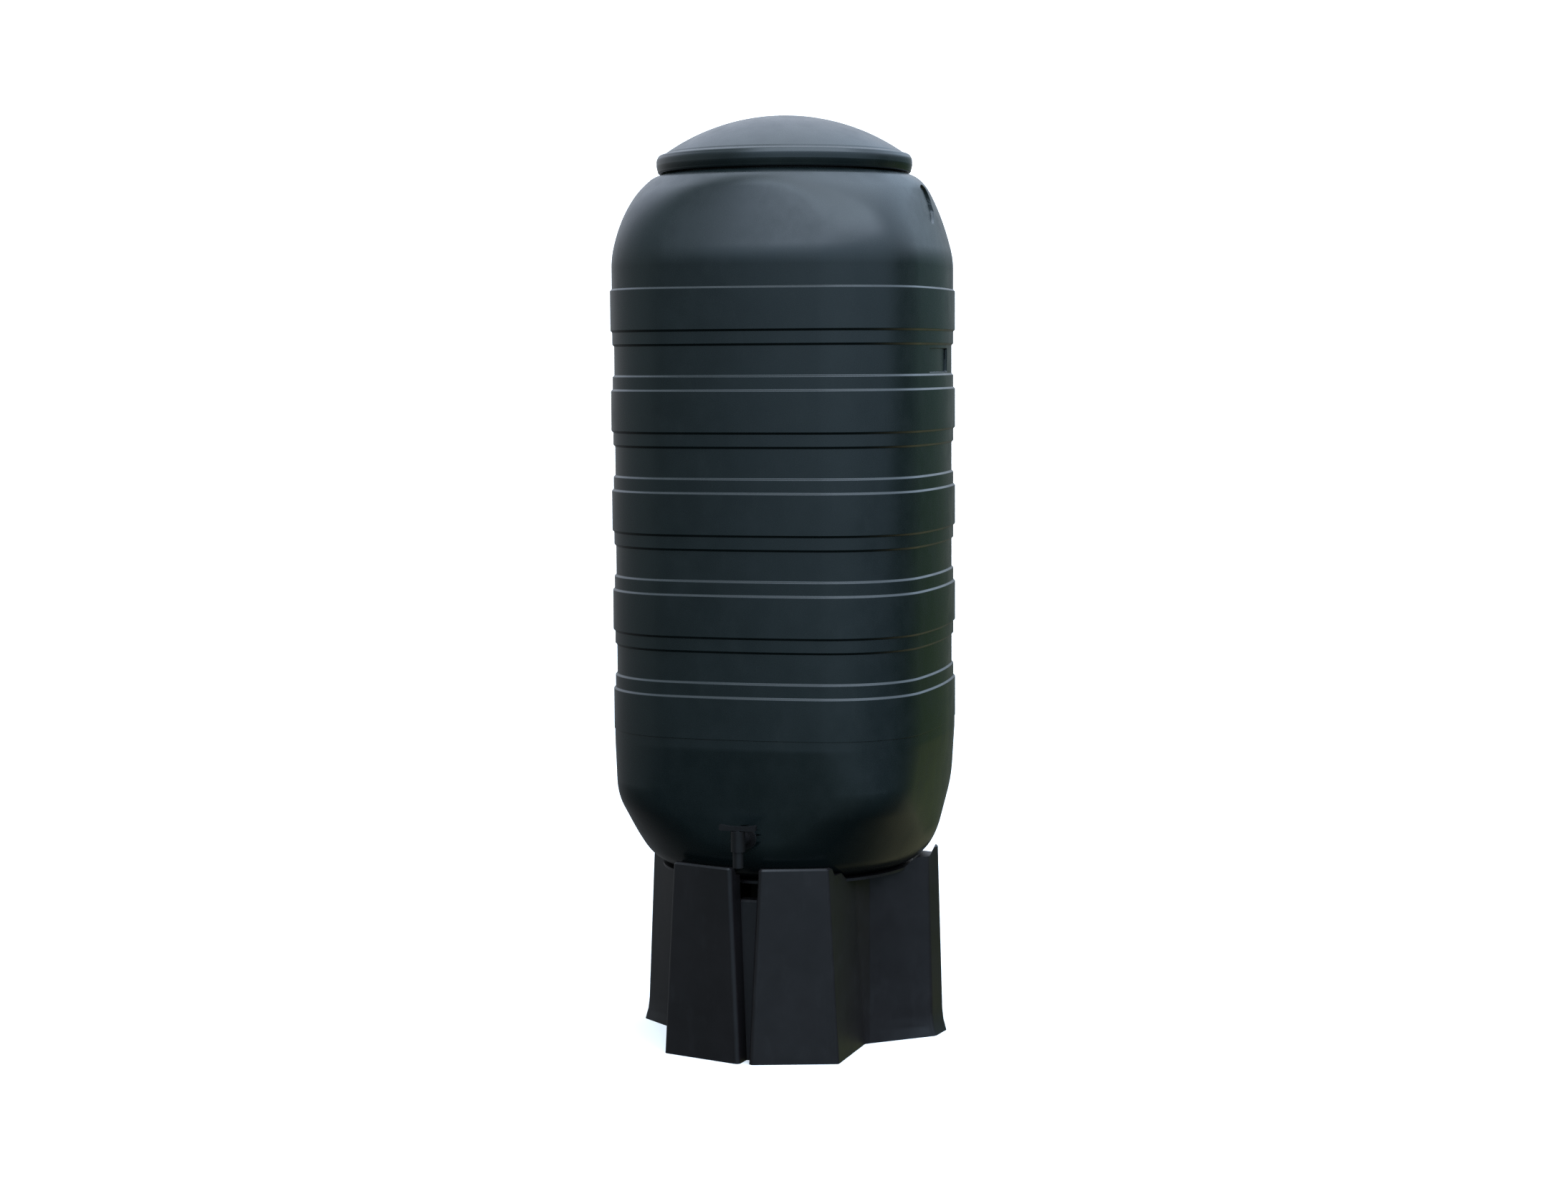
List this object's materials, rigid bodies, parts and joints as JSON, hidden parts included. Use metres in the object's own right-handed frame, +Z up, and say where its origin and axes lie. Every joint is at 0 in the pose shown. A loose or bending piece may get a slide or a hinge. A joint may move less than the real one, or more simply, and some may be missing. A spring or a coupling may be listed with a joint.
{
  "type": "rain barrel",
  "caption": "Upright plastic rain barrel with a banded square-round tank, domed lift-off lid, small lever tap and a hollow legged stand.",
  "frame": {"origin": "on the ground under the middle of the object's box, tap included", "axes": "+Z up, the tap faces -Y, +X to the right seen from the tap side"},
  "size_m": [0.5298, 0.5673, 1.5095],
  "materials": {
    "barrel_plastic": "satin moulded, very dark green",
    "lid_plastic": "satin moulded, very dark green",
    "stand_plastic": "fine grained, charcoal black",
    "tap_plastic": "moulded, black",
    "washer_rubber": "soft, black"
  },
  "bodies": {
    "root": {"wall_front": "barrel_plastic", "shoulder_front": "barrel_plastic", "base_front": "barrel_plastic", "wall_right": "barrel_plastic", "shoulder_right": "barrel_plastic", "base_right": "barrel_plastic", "wall_back": "barrel_plastic", "shoulder_back": "barrel_plastic", "base_back": "barrel_plastic", "wall_left": "barrel_plastic", "shoulder_left": "barrel_plastic", "base_left": "barrel_plastic", "wall_corner_back_right": "barrel_plastic", "stand_leg_back_right": "stand_plastic", "stand_corner_back_right": "stand_plastic", "wall_corner_back_left": "barrel_plastic", "stand_leg_back_left": "stand_plastic", "stand_corner_back_left": "stand_plastic", "wall_corner_front_left": "barrel_plastic", "stand_leg_front_left": "stand_plastic", "stand_corner_front_left": "stand_plastic", "wall_corner_front_right": "barrel_plastic", "stand_leg_front_right": "stand_plastic", "stand_corner_front_right": "stand_plastic", "shoulder_plate": "barrel_plastic", "barrel_floor": "barrel_plastic", "neck_ring": "barrel_plastic", "stand_leg_left": "stand_plastic", "stand_leg_right": "stand_plastic", "stand_groove_front": "stand_plastic", "stand_groove_back": "stand_plastic", "stand_deck": "stand_plastic", "tap_body": "tap_plastic", "tap_spout": "tap_plastic", "tap_nut": "tap_plastic", "tap_washer": "washer_rubber"},
    "lid": {"lid_dome": "lid_plastic", "lid_rim": "lid_plastic"},
    "tap_lever": {"tap_lever": "tap_plastic"}
  },
  "joints": [
    {"name": "lid_lift", "type": "slide", "parent": "root", "child": "lid", "axis": [0, 0, 1], "range_m": [0, 0.25]},
    {"name": "tap_turn", "type": "hinge", "parent": "root", "child": "tap_lever", "pos_m": [0, -0.2733, 0.378], "axis": [0, 0, 1], "range_deg": [0, 90]}
  ]
}
